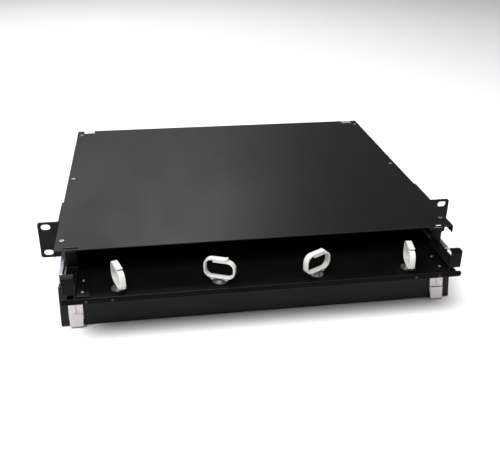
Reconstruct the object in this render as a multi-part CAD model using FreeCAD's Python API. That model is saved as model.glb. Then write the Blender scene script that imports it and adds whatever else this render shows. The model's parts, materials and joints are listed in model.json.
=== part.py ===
"""1U rack-mount sliding fibre termination box, drawer part open and front door hanging.

Frame: X across the rack, Y from front to back, Z up. The origin is the centre of the rack-ear hole
pattern, in the plane of the ears' front faces. All lengths are in millimetres and angles in degrees.
"""
import FreeCAD, Part
import math
import os

from FreeCAD import Vector

# ---- driving dimensions -------------------------------------------------------------------------
RACK_WIDTH = 482.6            # outside of the ears, 19-inch rack
EAR_HOLES_X = 465.1           # hole spacing across the rack
EAR_HOLES_Z = 31.75           # hole spacing up one rack unit
EAR_SLOT_LENGTH = 10.2
EAR_SLOT_WIDTH = 6.8
EAR_THICK = 2.0
EAR_FLANGE_LENGTH = 56.0      # along the side wall

BODY_WIDTH = 433.2
BODY_HEIGHT = 44.0
SHEET = 1.2                   # folded sheet steel of the housing and the drawer
COVER_FRONT = -68.2           # front edge of the top cover
COVER_REAR = 308.2            # rear edge of the top cover
WALL_FRONT = -8.2             # the side walls stop here, so that cords can leave sideways

DRAWER_SETBACK = 6.0          # from the cover's front edge to the shut drawer, for the latches
DRAWER_OPEN = 54.5            # how far the drawer stands out at rest, from shut
DRAWER_LENGTH = 292.5
FLOOR_HALF_WIDTH = 203.4
FLOOR_TOP = -7.5
LIP_HALF_WIDTH = 209.0
LIP_BOTTOM = -14.0

DOOR_OPEN_ANGLE = 168.0       # closed to hanging
DOOR_THICK = 1.5
DOOR_GAP = 0.3                # between a closed door's inner face and the cover's edge
AXIS_TO_FACE = 2.1            # from a hinge axis inwards to the door's inner face
EDGE_BELOW = 1.05             # how far a door's lower edge reaches under its axis
HINGE_RADIUS = 1.0            # hinge pin
KNUCKLE_RADIUS = 1.8
HINGE_HALF = 14.0             # half the length of a hinge
CENTRE_KNUCKLE = 6.8          # half the length of the housing's knuckle
PIN_CLEARANCE = 0.05          # radial, between a pin and the knuckles that turn on it

RING_X = (-152.0, -49.2, 53.1, 154.5)
RING_YAW = (-72.0, -22.0, 29.3, -98.5)
RING_WIDTH = 33.6
RING_BOTTOM = -3.8
RING_CROWN = 19.3             # top of the upper arm
RING_DEPTH = 5.8
RING_BAND = 2.1
RING_CORNER = 8.8
RING_STEP = 2.3               # how far the lower arm lies under the upper one
UPPER_ARM_END = 8.6
LOWER_ARM_END = -7.0
TAB_HEIGHT = 0.9
STEM_RADIUS = 1.5
BASE_RADIUS = 8.4
DOME_RADIUS = 7.5
DOME_HEIGHT = 3.6

LATCH_TRAVEL = 4.3
LATCH_HOUSING = (9.0, 35.0)   # lower and upper end over the hinge axis
LATCH_DEPTH = 3.5             # of a latch's housing, from the door's inner face
LATCH_HALF = 7.5
LATCH_WALL = 0.8
SLIT_HALF = 0.55              # half the slit that the tongue's stem runs in
TONGUE_HALF = 7.0
TONGUE_FACE = (3.7, 5.0)      # front and back of a tongue's plate, from the door's inner face
TONGUE_LOW = 28.7             # lower edge of the plate over the hinge axis
LATCH_SLOT = (2.3, 5.7)       # slots in the cover, from its front edge
LATCH_NOTCH = 8.6             # depth of the notches in the cover's rear edge
NOTCH_GAP = 0.5
REAR_FLANGE = 1.4             # thickness of the rear tongue's top flange

RAIL_LENGTH = 300.0
RAIL_WEB = 1.1
RAIL_LIP = 4.6                # width of the outer rail's lips, web included
RAIL_HALF = 6.0               # half the outer rail's height
FLANGE_BELOW = 2.6            # how far the drawer's side flange reaches under the slide's middle
BALL_RADIUS = 1.2
BALL_X = 211.6
BALL_LIFT = 3.7               # of a ball's centre above or below the slide's mid-height
BALLS_PER_ROW = 6
BALL_PITCH = 14.0
CAGE_LENGTH = 90.0

ADAPTER_COUNT = 24
ADAPTER_PITCH = 15.4
ADAPTER_Z = 5.0
PANEL_HALF_WIDTH = 192.0
PANEL_SCREW_X = (-184.8, -61.6, 61.6, 184.8)

TRAY_HALF = 92.0              # half the splice tray's width
TRAY_HEIGHT = 10.0
SPOOL_X = 142.0
SPOOL_RADIUS = 32.0
SPOOL_HEIGHT = 16.0

CLAMP_X = (-170.0, -140.0, 140.0, 170.0)
CLAMP_Y = 288.0
CLAMP_TUNNEL = 5.0            # height of the passage under a cable clamp
EARTH_STUD = (196.0, 288.0, -8.0)
STUD_RADIUS = 2.5
STUD_ROOT = 2.7               # thicker where the washer and the nut sit
STUD_FREE = 8.0               # length left for the earth terminal
STUD_SHOULDER = 5.6           # length of that root, from the tab
NUT_HEIGHT = 4.0

LIP_SCREW_X = (-184.5, -158.5, 158.5, 184.5)
LIP_SCREW_Z = -11.2
GUIDE_SCREW_X = 188.0
HOOK_TOP = 16.8
HOOK_DEPTH = 8.0
REAR_POST_TOP = 17.0

# ---- places worked out from them ----------------------------------------------------------------
HALF_BODY = BODY_WIDTH / 2
BODY_TOP = BODY_HEIGHT / 2
BODY_BOTTOM = -BODY_HEIGHT / 2
COVER_UNDER = BODY_TOP - SHEET
WALL_INSIDE = HALF_BODY - SHEET
FLOOR_UNDER = FLOOR_TOP - SHEET
DRAWER_FRONT = COVER_FRONT + DRAWER_SETBACK - DRAWER_OPEN
DRAWER_REAR = DRAWER_FRONT + DRAWER_LENGTH
AXIS_Z = BODY_BOTTOM + 1.5
FRONT_AXIS_Y = COVER_FRONT - DOOR_GAP - AXIS_TO_FACE
REAR_AXIS_Y = COVER_REAR + DOOR_GAP + AXIS_TO_FACE
BASE_FRONT = FRONT_AXIS_Y + 2.5
BASE_REAR = REAR_AXIS_Y - 2.5
GUIDE_INSIDE = 194.5          # inner edge of the cord guides
GUIDE_OUTSIDE = 206.6
GUIDE_STRIP = -1.6            # top of the guides' raised strip
RING_Y = DRAWER_FRONT + 15.8
PANEL_Y = DRAWER_FRONT + 123.5
GUIDE_SCREW_Y = (DRAWER_FRONT + 10.5, DRAWER_FRONT + 32.5)
TRAY_Y = (DRAWER_FRONT + 158.0, DRAWER_FRONT + 286.0)
SPOOL_Y = DRAWER_FRONT + 205.0
TRAY_TOP = FLOOR_TOP + TRAY_HEIGHT
DOOR_TOP = BODY_TOP - AXIS_Z  # height of a closed door above its axis
RAIL_FRONT = COVER_FRONT + 0.6
INNER_RAIL_FRONT = DRAWER_FRONT + 47.0
RAIL_REAR = RAIL_FRONT + RAIL_LENGTH
CAGE_FRONT = COVER_FRONT + 77.5
LATCH_X = 200.0               # centre of the latches and of the slots in the cover
HINGE_X = 140.0
RAIL_Z = BODY_BOTTOM + 10.0   # mid-height of the drawer slides
COVER_SCREW_X = 210.0
COVER_SCREW_Y = (COVER_FRONT + 20.8, COVER_FRONT + 190.0, COVER_FRONT + 358.0)
GLAND_Y = (COVER_REAR - 30.0, COVER_REAR - 62.0)
GLAND_RADIUS = 11.0

X_AXIS = Vector(1, 0, 0)
Y_AXIS = Vector(0, 1, 0)
Z_AXIS = Vector(0, 0, 1)
ORIGIN = Vector(0, 0, 0)


# ---- small helpers ------------------------------------------------------------------------------
def box(x0, x1, y0, y1, z0, z1):
    """A block between two opposite corners, in any order."""
    low = Vector(min(x0, x1), min(y0, y1), min(z0, z1))
    return Part.makeBox(abs(x1 - x0), abs(y1 - y0), abs(z1 - z0), low)


def rod(start, axis, radius, length):
    """A cylinder that leaves start along axis."""
    return Part.makeCylinder(radius, length, Vector(*start), axis)


def fuse(shapes):
    """One clean solid from touching or overlapping shapes."""
    whole = shapes[0].fuse(shapes[1:]) if len(shapes) > 1 else shapes[0]
    return whole.removeSplitter()


def group(shapes):
    """Separate solids kept together under one node."""
    return Part.makeCompound(shapes)


def across(shape):
    """The mirror image on the other side of the box."""
    return shape.mirror(ORIGIN, X_AXIS)


def both_sides(shape):
    return [shape, across(shape)]


def moved(shape, x=0.0, y=0.0, z=0.0):
    copy = shape.copy()
    copy.translate(Vector(x, y, z))
    return copy


def turned(shape, angle, axis=Z_AXIS, centre=ORIGIN):
    copy = shape.copy()
    copy.rotate(centre, axis, angle)
    return copy


def slot_prism(centre, length, width, depth):
    """A slot along X with round ends, its axis along Y, starting at centre's Y."""
    x, y, z = centre
    half = (length - width) / 2
    ends = [rod((x + s * half, y, z), Y_AXIS, width / 2, depth) for s in (-1, 1)]
    return fuse([box(x - half, x + half, y, y + depth, z - width / 2, z + width / 2)] + ends)


def rounded(shape, radius, direction, keep):
    """Fillets the straight edges along direction whose middle satisfies keep."""
    edges = []
    for edge in shape.Edges:
        ends = [v.Point for v in edge.Vertexes]
        if len(ends) != 2 or (ends[1] - ends[0]).Length < 1e-6:
            continue
        along = (ends[1] - ends[0]).normalize()
        if abs(along.dot(direction)) > 0.999 and keep((ends[0] + ends[1]) * 0.5):
            edges.append(edge)
    return shape.makeFillet(radius, edges)


def pan_screw(centre, axis, head_radius, head_height, shank_radius, shank_length):
    """A low pan-head screw: the head stands out along axis and the shank goes the other way."""
    at = Vector(*centre)
    head = Part.makeCylinder(head_radius, head_height, at, axis)
    head = head.makeFillet(head_height * 0.45, [head.Edges[0]])
    recess = Part.makeBox(head_radius * 1.1, 0.6, head_height, Vector(-head_radius * 0.55, -0.3, 0))
    cross = fuse([recess, turned(recess, 90)])
    turn = FreeCAD.Rotation(Z_AXIS, axis)
    cross.Placement = FreeCAD.Placement(at + axis * (head_height * 0.5), turn)
    shank = Part.makeCylinder(shank_radius, shank_length, at, axis * -1)
    return fuse([head.cut(cross), shank])


# ---- housing ------------------------------------------------------------------------------------
def side_wall():
    """The right side wall with its folded top flange and the openings for the cable grommets."""
    wall = box(WALL_INSIDE, HALF_BODY, WALL_FRONT, BASE_REAR, BODY_BOTTOM, COVER_UNDER)
    flange = box(207.2, HALF_BODY, WALL_FRONT, COVER_REAR - 10, COVER_UNDER - SHEET, COVER_UNDER)
    holes = [rod((WALL_INSIDE - 1, y, 2.0), X_AXIS, GLAND_RADIUS, 4) for y in GLAND_Y]
    screws = [rod((COVER_SCREW_X, y, COVER_UNDER - 3), Z_AXIS, 1.6, 4) for y in COVER_SCREW_Y[1:]]
    return fuse([wall, flange]).cut(group(holes + screws))


def base_shell():
    """Bottom panel and the two side walls, folded from one sheet, with vent slots near the back."""
    bottom = box(-HALF_BODY, HALF_BODY, BASE_FRONT, BASE_REAR, BODY_BOTTOM, BODY_BOTTOM + SHEET)
    shell = fuse([bottom] + both_sides(side_wall()))
    vents = []
    for column in range(9):
        x = (column - 4) * 36.0
        vents.append(box(x - 11, x + 11, 250, 253, BODY_BOTTOM - 1, BODY_BOTTOM + SHEET + 1))
        vents.append(box(x - 11, x + 11, 262, 265, BODY_BOTTOM - 1, BODY_BOTTOM + SHEET + 1))
    return shell.cut(group(vents))


def top_cover():
    """Flat lid with short side skirts at the front, latch slots and rear latch notches."""
    lid = box(-HALF_BODY, HALF_BODY, COVER_FRONT, COVER_REAR, COVER_UNDER, BODY_TOP)
    skirt = box(WALL_INSIDE, HALF_BODY, COVER_FRONT, WALL_FRONT - 0.3, COVER_UNDER - 7, COVER_UNDER)
    cuts = []
    for side in (-1, 1):
        x = side * LATCH_X
        slot_front, slot_rear = [COVER_FRONT + edge for edge in LATCH_SLOT]
        cuts.append(box(x - 8, x + 8, slot_front, slot_rear, COVER_UNDER - 1, BODY_TOP + 1))
        notch = COVER_REAR - LATCH_NOTCH
        cuts.append(box(x - 8, x + 8, notch, COVER_REAR + 1, COVER_UNDER - 1, BODY_TOP + 1))
        for y in COVER_SCREW_Y:
            cuts.append(rod((side * COVER_SCREW_X, y, COVER_UNDER - 1), Z_AXIS, 1.6, 3))
    return fuse([lid] + both_sides(skirt)).cut(group(cuts))


def cover_screws():
    screws = []
    for side in (-1, 1):
        for y in COVER_SCREW_Y:
            at = (side * COVER_SCREW_X, y, BODY_TOP)
            screws.append(pan_screw(at, Z_AXIS, 2.9, 0.9, 1.5, 5.0))
    return group(screws)


def rack_ear():
    """The right rack ear: a slotted front leg and a leg screwed to the outside of the wall."""
    front = box(HALF_BODY, RACK_WIDTH / 2, 0, EAR_THICK, BODY_BOTTOM, BODY_TOP)
    front = rounded(front, 3.0, Y_AXIS, lambda p: p.x > RACK_WIDTH / 2 - 1)
    side = box(HALF_BODY, HALF_BODY + EAR_THICK, 0, EAR_FLANGE_LENGTH, BODY_BOTTOM, BODY_TOP)
    side = rounded(side, 5.0, X_AXIS, lambda p: p.y > EAR_FLANGE_LENGTH - 1)
    ear = fuse([front, side])
    ear = rounded(ear, 1.5, Z_AXIS, lambda p: p.x < HALF_BODY + 0.1 and p.y < 0.1)
    cuts = []
    for row in (-1, 1):
        centre = (EAR_HOLES_X / 2, -1, row * EAR_HOLES_Z / 2)
        cuts.append(slot_prism(centre, EAR_SLOT_LENGTH, EAR_SLOT_WIDTH, EAR_THICK + 2))
    return ear.cut(group(cuts))


def ear_screws():
    screws = []
    for y in (12.0, 44.0):
        for z in (-13.0, 13.0):
            at = (HALF_BODY + EAR_THICK, y, z)
            screws += both_sides(pan_screw(at, X_AXIS, 3.2, 1.6, 1.9, EAR_THICK + SHEET - 0.1))
    return group(screws)


def cut_for_ear_screws(shape):
    """Screw holes for the ears, through a leg or a wall."""
    holes = []
    for y in (12.0, 44.0):
        for z in (-13.0, 13.0):
            holes += both_sides(rod((WALL_INSIDE - 1, y, z), X_AXIS, 1.9, 6))
    return shape.cut(group(holes))


def grommets():
    """Rubber grommets in the side walls, slit across for the incoming cables."""
    parts = []
    for y in GLAND_Y:
        body = rod((WALL_INSIDE - 1.4, y, 2.0), X_AXIS, GLAND_RADIUS + 2.0, SHEET + 2.8)
        groove = rod((WALL_INSIDE, y, 2.0), X_AXIS, GLAND_RADIUS + 3.0, SHEET)
        core = rod((WALL_INSIDE, y, 2.0), X_AXIS, GLAND_RADIUS, SHEET)
        bore = rod((WALL_INSIDE - 3, y, 2.0), X_AXIS, 3.0, 8)
        slit = box(WALL_INSIDE - 3, HALF_BODY + 5, y - 7, y + 7, 1.8, 2.2)
        grommet = fuse([body.cut(groove), core]).cut(group([bore, slit]))
        parts += both_sides(grommet)
    return group(parts)


def cable_clamps():
    """Folded saddles on the bottom panel that the incoming cables are tied to."""
    floor, y = BODY_BOTTOM + SHEET, CLAMP_Y
    saddles = []
    for x in CLAMP_X:
        feet = box(x - 11, x + 11, y - 5, y + 5, floor, floor + 1.2)
        arch = box(x - 6.5, x + 6.5, y - 5, y + 5, floor, floor + 6.2)
        tunnel = box(x - 5.3, x + 5.3, y - 6, y + 6, floor, floor + CLAMP_TUNNEL)
        saddle = fuse([feet, arch]).cut(tunnel)
        screws = [pan_screw((x + s * 8.8, y, floor + 1.2), Z_AXIS, 1.8, 1.0, 0.9, 1.2) for s in (-1, 1)]
        holes = [rod((x + s * 8.8, y, floor - 1), Z_AXIS, 0.9, 4) for s in (-1, 1)]
        saddles += [saddle.cut(group(holes))] + screws
    return group(saddles)


def earth_stud():
    """Shouldered stud on an upright tab, facing the rear door, with its washer and nut."""
    floor = BODY_BOTTOM + SHEET
    x, y, z = EARTH_STUD
    tab = box(x - 7, x + 7, y - SHEET, y, floor, z + 7)
    foot = box(x - 7, x + 7, y - 12, y, floor, floor + SHEET)
    root = rod((x, y - SHEET, z), Y_AXIS, STUD_ROOT, SHEET + STUD_SHOULDER)
    end = rod((x, y, z), Y_AXIS, STUD_RADIUS, STUD_SHOULDER + STUD_FREE)
    washer = rod((x, y, z), Y_AXIS, 5.2, 1.0)
    corners = []
    for angle in range(0, 361, 60):
        turn = math.radians(angle)
        corners.append(Vector(x + 4.6 * math.cos(turn), y + 1.0, z + 4.6 * math.sin(turn)))
    nut = Part.Face(Part.makePolygon(corners)).extrude(Vector(0, NUT_HEIGHT, 0))
    bore = rod((x, y - 2, z), Y_AXIS, STUD_ROOT, 9.0)
    bracket = fuse([tab, foot]).cut(bore)
    return group([bracket, fuse([root, end]), washer.cut(bore), nut.cut(bore)])


# ---- drawer slides ------------------------------------------------------------------------------
def outer_rail():
    """The channel of the slide that is fixed to the housing."""
    low, high = RAIL_Z - RAIL_HALF, RAIL_Z + RAIL_HALF
    web = box(WALL_INSIDE - RAIL_WEB, WALL_INSIDE, RAIL_FRONT, RAIL_REAR, low, high)
    race = BALL_LIFT + BALL_RADIUS + 0.05
    lips = [box(WALL_INSIDE - RAIL_LIP, WALL_INSIDE, RAIL_FRONT, RAIL_REAR,
                RAIL_Z + s * race, RAIL_Z + s * RAIL_HALF) for s in (-1, 1)]
    return fuse([web] + lips)


def inner_rail():
    """The channel of the slide that is fixed to the drawer's side flange."""
    y0, y1 = INNER_RAIL_FRONT, DRAWER_REAR
    inside, outside = FLOOR_HALF_WIDTH, BALL_X + RAIL_WEB
    race = BALL_LIFT - BALL_RADIUS - 0.05
    web = box(inside, inside + 1.2, y0, y1, RAIL_Z - race, RAIL_Z + race)
    lips = [box(inside, outside, y0, y1, RAIL_Z + s * 1.4, RAIL_Z + s * race) for s in (-1, 1)]
    return fuse([web] + lips)


def ball_places():
    first = CAGE_FRONT + (CAGE_LENGTH - (BALLS_PER_ROW - 1) * BALL_PITCH) / 2
    return [(BALL_X, first + i * BALL_PITCH, RAIL_Z + s * BALL_LIFT)
            for i in range(BALLS_PER_ROW) for s in (-1, 1)]


def ball_cage():
    """Thin pressed strip that spaces the balls; it travels half as far as the drawer."""
    y0, y1 = CAGE_FRONT, CAGE_FRONT + CAGE_LENGTH
    inside, outside = BALL_X - 1.7, BALL_X + 2.4
    web = box(outside - 0.6, outside, y0, y1, RAIL_Z - 4.1, RAIL_Z + 4.1)
    lips = [box(inside, outside, y0, y1, RAIL_Z + s * 3.5, RAIL_Z + s * 4.1) for s in (-1, 1)]
    holes = [rod((x, y, z - 2), Z_AXIS, BALL_RADIUS + 0.03, 4) for x, y, z in ball_places()]
    return fuse([web] + lips).cut(group(holes))


def slide_balls():
    return group([Part.makeSphere(BALL_RADIUS, Vector(*place)) for place in ball_places()])


# ---- drawer -------------------------------------------------------------------------------------
def drawer_tray():
    """Raised floor with a front lip, side flanges that carry the slides, and a low rear wall."""
    floor = box(-FLOOR_HALF_WIDTH, FLOOR_HALF_WIDTH, DRAWER_FRONT, DRAWER_REAR, FLOOR_UNDER, FLOOR_TOP)
    lip = box(-LIP_HALF_WIDTH, LIP_HALF_WIDTH, DRAWER_FRONT, DRAWER_FRONT + SHEET, LIP_BOTTOM, FLOOR_TOP)
    lip = rounded(lip, 2.6, Y_AXIS, lambda p: abs(p.x) > LIP_HALF_WIDTH - 1)
    flange = box(FLOOR_HALF_WIDTH - SHEET, FLOOR_HALF_WIDTH, INNER_RAIL_FRONT, DRAWER_REAR,
                 RAIL_Z - FLANGE_BELOW, FLOOR_TOP)
    rear = box(-FLOOR_HALF_WIDTH, FLOOR_HALF_WIDTH, DRAWER_REAR - SHEET, DRAWER_REAR, FLOOR_UNDER, 0.0)
    tray = fuse([floor, lip, rear] + both_sides(flange))
    cuts = [rod((x, DRAWER_FRONT - 1, LIP_SCREW_Z), Y_AXIS, 0.9, 4) for x in LIP_SCREW_X]
    for side in (-1, 1):
        for y in GUIDE_SCREW_Y:
            cuts.append(rod((side * GUIDE_SCREW_X, y, FLOOR_UNDER - 1), Z_AXIS, 0.9, 4))
    for column in range(12):
        x = (column - 5.5) * 30.0
        cuts.append(box(x - 5, x + 5, PANEL_Y - 18, PANEL_Y - 15, FLOOR_UNDER - 1, FLOOR_TOP + 1))
    return tray.cut(group(cuts))


def lip_screws():
    return group([pan_screw((x, DRAWER_FRONT, LIP_SCREW_Z), Y_AXIS * -1, 1.5, 0.6, 0.85, 3.0)
                  for x in LIP_SCREW_X])


def cord_guide():
    """The right cord guide: a foot on the floor, a raised strip, and a hooked post at each end."""
    front, rear = DRAWER_FRONT + 0.4, DRAWER_FRONT + 55.6
    inside, outside, low = GUIDE_INSIDE, GUIDE_OUTSIDE, GUIDE_STRIP - SHEET
    foot = box(181.0, inside + SHEET, front + 2.0, rear, FLOOR_TOP, FLOOR_TOP + SHEET)
    riser = box(inside, inside + SHEET, front, rear, FLOOR_TOP, GUIDE_STRIP)
    strip = box(inside, outside, front, rear, low, GUIDE_STRIP)
    rear_post = box(inside, outside, rear - SHEET, rear, low, REAR_POST_TOP)
    front_post = box(inside, outside, front, front + SHEET, low, HOOK_TOP)
    hook = box(inside, outside, front, front + HOOK_DEPTH, HOOK_TOP - SHEET, HOOK_TOP)
    guide = fuse([foot, riser, strip, rear_post, front_post, hook])
    guide = rounded(guide, 2.4, X_AXIS, lambda p: p.y < front + 0.1 and p.z > HOOK_TOP - 0.1)
    tip = front + HOOK_DEPTH
    guide = rounded(guide, 2.0, Z_AXIS, lambda p: p.x > outside - 0.1 and abs(p.y - tip) < 0.1)
    guide = rounded(guide, 2.0, Y_AXIS, lambda p: p.z > REAR_POST_TOP - 0.1 and p.y > front + 20)
    holes = [rod((GUIDE_SCREW_X, y, FLOOR_TOP - 1), Z_AXIS, 0.9, 4) for y in GUIDE_SCREW_Y]
    return guide.cut(group(holes))


def guide_screws():
    screws = []
    for y in GUIDE_SCREW_Y:
        at = (GUIDE_SCREW_X, y, FLOOR_TOP + SHEET)
        screws += both_sides(pan_screw(at, Z_AXIS, 1.6, 0.7, 0.85, 3.4))
    return group(screws)


def ring_bases():
    """Clear domed swivel bases stuck to the floor, each with a socket for a ring's stem."""
    ball_radius = (DOME_RADIUS ** 2 + DOME_HEIGHT ** 2) / (2 * DOME_HEIGHT)
    ball_z = FLOOR_TOP + DOME_HEIGHT - ball_radius
    bases = []
    for x in RING_X:
        disc = rod((x, RING_Y, FLOOR_TOP), Z_AXIS, BASE_RADIUS, 0.8)
        ball = Part.makeSphere(ball_radius, Vector(x, RING_Y, ball_z))
        dome = ball.common(rod((x, RING_Y, FLOOR_TOP), Z_AXIS, BASE_RADIUS, DOME_HEIGHT - 0.3))
        bore = rod((x, RING_Y, FLOOR_TOP + 0.8), Z_AXIS, STEM_RADIUS + PIN_CLEARANCE, DOME_HEIGHT)
        bases.append(fuse([disc, dome]).cut(bore))
    return group(bases)


def ring_band(top):
    """A closed band about the Y axis, between two rounded rectangles."""
    frames = []
    for inset in (0.0, RING_BAND):
        half = RING_WIDTH / 2 - inset
        block = box(-half, half, -RING_DEPTH / 2, RING_DEPTH / 2, RING_BOTTOM + inset, top - inset)
        frames.append(rounded(block, RING_CORNER - inset, Y_AXIS, lambda p: True))
    return frames[0].cut(frames[1])


def ring_arm(top, start, stop):
    """The part of a band that lies between start and stop above mid-height, and one side of it."""
    middle = (RING_BOTTOM + RING_CROWN) / 2
    side = -30 if start < -20 else 30
    upper = box(start, stop, -9, 9, middle, 30)
    lower = box(0, side, -9, 9, -9, middle)
    return ring_band(top).common(fuse([upper, lower]))


def ring_loop():
    """One cord ring about the vertical axis: its upper arm springs down onto the lower one."""
    half = RING_DEPTH / 2
    upper = ring_arm(RING_CROWN, -30, UPPER_ARM_END)
    lower = ring_arm(RING_CROWN - RING_STEP, LOWER_ARM_END, 30)
    tab = box(UPPER_ARM_END - 1.4, UPPER_ARM_END, -half, half, RING_CROWN - 0.5, RING_CROWN + TAB_HEIGHT)
    stem_bottom = FLOOR_TOP + 0.9
    stem = rod((0, 0, stem_bottom), Z_AXIS, STEM_RADIUS, RING_BOTTOM + 0.6 - stem_bottom)
    fins = []
    for side in (-1, 1):
        corner = [Vector(side * 3.6, -0.6, RING_BOTTOM + 0.4), Vector(side * 8.4, -0.6, RING_BOTTOM + 0.4),
                  Vector(side * 7.6, -0.6, RING_BOTTOM - 2.0), Vector(side * 3.6, -0.6, RING_BOTTOM + 0.4)]
        fins.append(Part.Face(Part.makePolygon(corner)).extrude(Vector(0, 1.2, 0)))
    return fuse([upper, lower, tab, stem] + fins)


def cord_ring(index):
    ring = turned(ring_loop(), RING_YAW[index])
    return moved(ring, RING_X[index], RING_Y, 0)


# ---- termination and splicing inside the drawer -------------------------------------------------
def adapter_x():
    return [(i - (ADAPTER_COUNT - 1) / 2) * ADAPTER_PITCH for i in range(ADAPTER_COUNT)]


def adapter_panel():
    """Upright bulkhead with a cut-out for each adapter, on a foot folded rearwards."""
    plate = box(-PANEL_HALF_WIDTH, PANEL_HALF_WIDTH, PANEL_Y, PANEL_Y + SHEET, FLOOR_TOP, 17.5)
    foot = box(-PANEL_HALF_WIDTH, PANEL_HALF_WIDTH, PANEL_Y, PANEL_Y + 14.5, FLOOR_TOP, FLOOR_TOP + SHEET)
    brace = box(-PANEL_HALF_WIDTH, PANEL_HALF_WIDTH, PANEL_Y, PANEL_Y + 8.0, 17.5 - SHEET, 17.5)
    cuts = [box(x - 6.6, x + 6.6, PANEL_Y - 1, PANEL_Y + 2, ADAPTER_Z - 4.8, ADAPTER_Z + 4.8)
            for x in adapter_x()]
    cuts += [rod((x, PANEL_Y + 11.5, FLOOR_TOP - 1), Z_AXIS, 1.3, 4) for x in PANEL_SCREW_X]
    return fuse([plate, foot, brace]).cut(group(cuts))


def panel_screws():
    return group([pan_screw((x, PANEL_Y + 11.5, FLOOR_TOP + SHEET), Z_AXIS, 2.0, 0.9, 1.2, 1.1)
                  for x in PANEL_SCREW_X])


def fibre_adapters():
    """Through adapters with a square port at each end and a flange against the panel."""
    adapters = []
    for x in adapter_x():
        body = box(x - 6.5, x + 6.5, PANEL_Y - 11, PANEL_Y + 13, ADAPTER_Z - 4.7, ADAPTER_Z + 4.7)
        flange = box(x - 7.5, x + 7.5, PANEL_Y - 1.5, PANEL_Y, ADAPTER_Z - 5.8, ADAPTER_Z + 5.8)
        ports = [box(x - 4.6, x + 4.6, y, y + 9.0, ADAPTER_Z - 3.6, ADAPTER_Z + 3.6)
                 for y in (PANEL_Y - 11, PANEL_Y + 4)]
        bore = rod((x, PANEL_Y - 11, ADAPTER_Z), Y_AXIS, 1.3, 24)
        adapters.append(fuse([body, flange]).cut(group(ports + [bore])))
    return group(adapters)


def dust_caps(inner):
    """Push-in caps on the front ports, or on the rear ports when inner is true."""
    caps = []
    facing = 1 if inner else -1
    face = PANEL_Y + 13 if inner else PANEL_Y - 11
    for x in adapter_x():
        plug = box(x - 4.4, x + 4.4, face - facing * 7.0, face, ADAPTER_Z - 3.4, ADAPTER_Z + 3.4)
        head = box(x - 5.4, x + 5.4, face, face + facing * 1.6, ADAPTER_Z - 4.2, ADAPTER_Z + 4.2)
        grip = box(x - 3.2, x + 3.2, face, face + facing * 5.0, ADAPTER_Z - 1.0, ADAPTER_Z + 1.0)
        caps.append(fuse([plug, head, grip]))
    return group(caps)


def splice_tray():
    """Moulded tray with a rim open at the two front corners for the fibres."""
    outer = box(-TRAY_HALF, TRAY_HALF, TRAY_Y[0], TRAY_Y[1], FLOOR_TOP, TRAY_TOP)
    outer = rounded(outer, 22.0, Z_AXIS, lambda p: True)
    inner = box(-TRAY_HALF + 2, TRAY_HALF - 2, TRAY_Y[0] + 2, TRAY_Y[1] - 2, FLOOR_TOP + 2, TRAY_TOP)
    inner = rounded(inner, 20.0, Z_AXIS, lambda p: True)
    gates = [box(s * 52, s * 64, TRAY_Y[0] - 1, TRAY_Y[0] + 3, FLOOR_TOP + 3, TRAY_TOP + 1)
             for s in (-1, 1)]
    mid_y = (TRAY_Y[0] + TRAY_Y[1]) / 2
    drums = []
    for side in (-1, 1):
        drum = rod((side * 56, mid_y, FLOOR_TOP + 1), Z_AXIS, 25.0, 8.0)
        drums.append(drum.cut(rod((side * 56, mid_y, FLOOR_TOP + 2), Z_AXIS, 23.2, 8.0)))
    return fuse([outer.cut(inner).cut(group(gates))] + drums)


def splice_holder():
    """Comb between the drums that grips the splice sleeves."""
    mid_y = (TRAY_Y[0] + TRAY_Y[1]) / 2
    ribs = [box(-24, 24, mid_y - 25 + i * 4.1, mid_y - 24 + i * 4.1, FLOOR_TOP + 2, FLOOR_TOP + 8)
            for i in range(13)]
    plate = box(-24, 24, mid_y - 25, mid_y + 25.2, FLOOR_TOP + 2, FLOOR_TOP + 3.2)
    return fuse([plate] + ribs)


def splice_sleeves():
    """Heat-shrunk splice protectors lying in the comb."""
    mid_y = (TRAY_Y[0] + TRAY_Y[1]) / 2
    return group([rod((-20, mid_y - 22.45 + i * 4.1, FLOOR_TOP + 4.9), X_AXIS, 1.45, 40)
                  for i in range(12)])


def tray_lid():
    """Clear hinged-off lid that snaps over the splice tray."""
    lid = box(-TRAY_HALF, TRAY_HALF, TRAY_Y[0], TRAY_Y[1], TRAY_TOP, TRAY_TOP + 1.4)
    lid = rounded(lid, 22.0, Z_AXIS, lambda p: True)
    finger_hole = box(-9, 9, TRAY_Y[0] - 1, TRAY_Y[0] + 7, TRAY_TOP - 1, TRAY_TOP + 3)
    return lid.cut(finger_hole)


def fibre_spools():
    """Round slack-storage spools, one each side of the tray, with retaining tabs at the top."""
    spools = []
    for side in (-1, 1):
        x, y, top = side * SPOOL_X, SPOOL_Y, FLOOR_TOP + SPOOL_HEIGHT
        hollow = rod((x, y, FLOOR_TOP + 1.6), Z_AXIS, SPOOL_RADIUS - 1.8, SPOOL_HEIGHT)
        wall = rod((x, y, FLOOR_TOP), Z_AXIS, SPOOL_RADIUS, SPOOL_HEIGHT).cut(hollow)
        tab = box(x + SPOOL_RADIUS - 1, x + SPOOL_RADIUS + 9, y - 6, y + 6, top - 1.4, top)
        tabs = [turned(tab, angle, Z_AXIS, Vector(x, y, 0)) for angle in (45, 135, 225, 315)]
        spools.append(fuse([wall] + tabs))
    return group(spools)


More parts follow.
